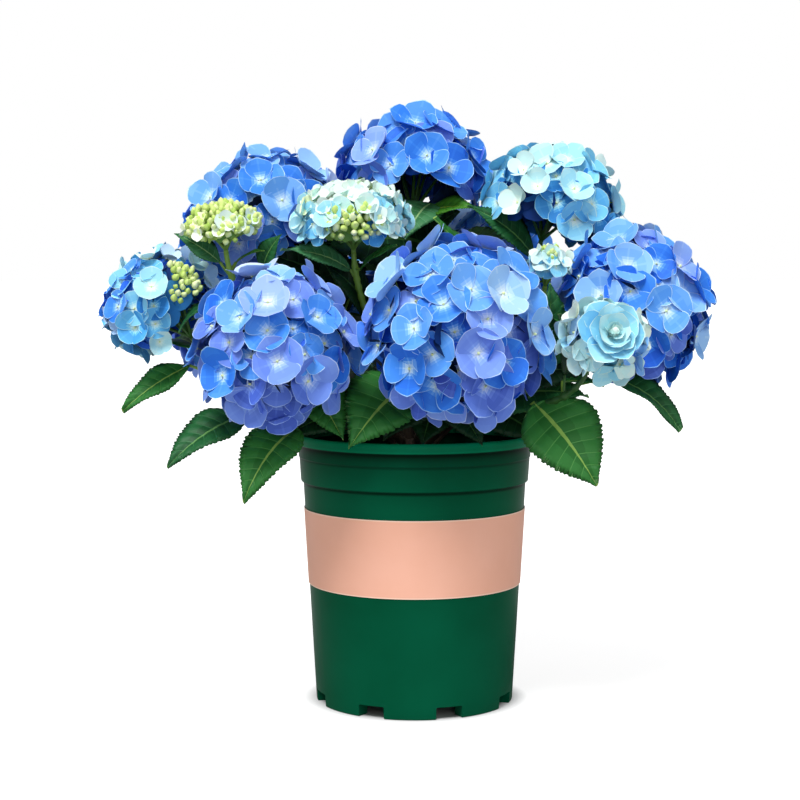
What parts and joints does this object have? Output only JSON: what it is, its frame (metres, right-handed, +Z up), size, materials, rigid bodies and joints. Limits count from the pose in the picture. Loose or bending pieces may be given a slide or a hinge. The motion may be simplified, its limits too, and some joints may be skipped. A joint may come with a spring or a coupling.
{
  "type": "potted hydrangea shrub",
  "caption": "Mophead hydrangea shrub with blue globe flower heads and toothed leaves, growing in a tapered round nursery pot with notched feet.",
  "frame": {"origin": "centre of the pot's flat underside, on the floor it stands on", "axes": "+Z up, -Y towards the front, +X to the right seen from the front"},
  "size_m": [0.5889, 0.4683, 0.5892],
  "materials": {
    "pot_plastic": "dark green moulded polypropylene, satin, faint swirl",
    "band_film": "bare salmon pink printed film band",
    "potting_mix": "damp composted bark and peat",
    "cane_bark": "brown green young bark with raised pores",
    "foliage": "toothed green leaves, satin, with pale veins",
    "petals_blue": "blue to lavender petals with pale rims",
    "petals_pale": "ice blue and cream young petals",
    "buds_lime": "lime green unopened buds"
  },
  "bodies": {
    "root": {"pot": "pot_plastic", "label_band": "band_film", "potting_mix": "potting_mix", "stool": "cane_bark", "cane_front_big": "cane_bark", "cane_front_left": "cane_bark", "cane_right": "cane_bark", "cane_top": "cane_bark", "cane_upper_left": "cane_bark", "cane_upper_right": "cane_bark", "cane_far_left": "cane_bark", "cane_lime": "cane_bark", "cane_young": "cane_bark", "cane_rose": "cane_bark", "cane_bud": "cane_bark", "cane_back_left": "cane_bark", "cane_back_top": "cane_bark", "cane_back_right": "cane_bark", "cane_back_low": "cane_bark", "leaves_front_big": "foliage", "leaves_front_left": "foliage", "leaves_right": "foliage", "leaves_top": "foliage", "leaves_upper_left": "foliage", "leaves_upper_right": "foliage", "leaves_far_left": "foliage", "leaves_lime": "foliage", "leaves_young": "foliage", "leaves_rose": "foliage", "leaves_bud": "foliage", "leaves_back_left": "foliage", "leaves_back_top": "foliage", "leaves_back_right": "foliage", "leaves_back_low": "foliage", "head_front_big": "petals_blue", "head_front_left": "petals_blue", "head_right": "petals_blue", "head_top": "petals_blue", "head_upper_left": "petals_blue", "head_upper_right": "petals_pale", "head_far_left": "petals_pale", "head_lime": "buds_lime", "head_young": "petals_pale", "head_rose": "petals_pale", "head_bud": "petals_pale", "head_back_left": "petals_blue", "head_back_top": "petals_blue", "head_back_right": "petals_blue", "head_back_low": "petals_blue"}
  },
  "joints": []
}
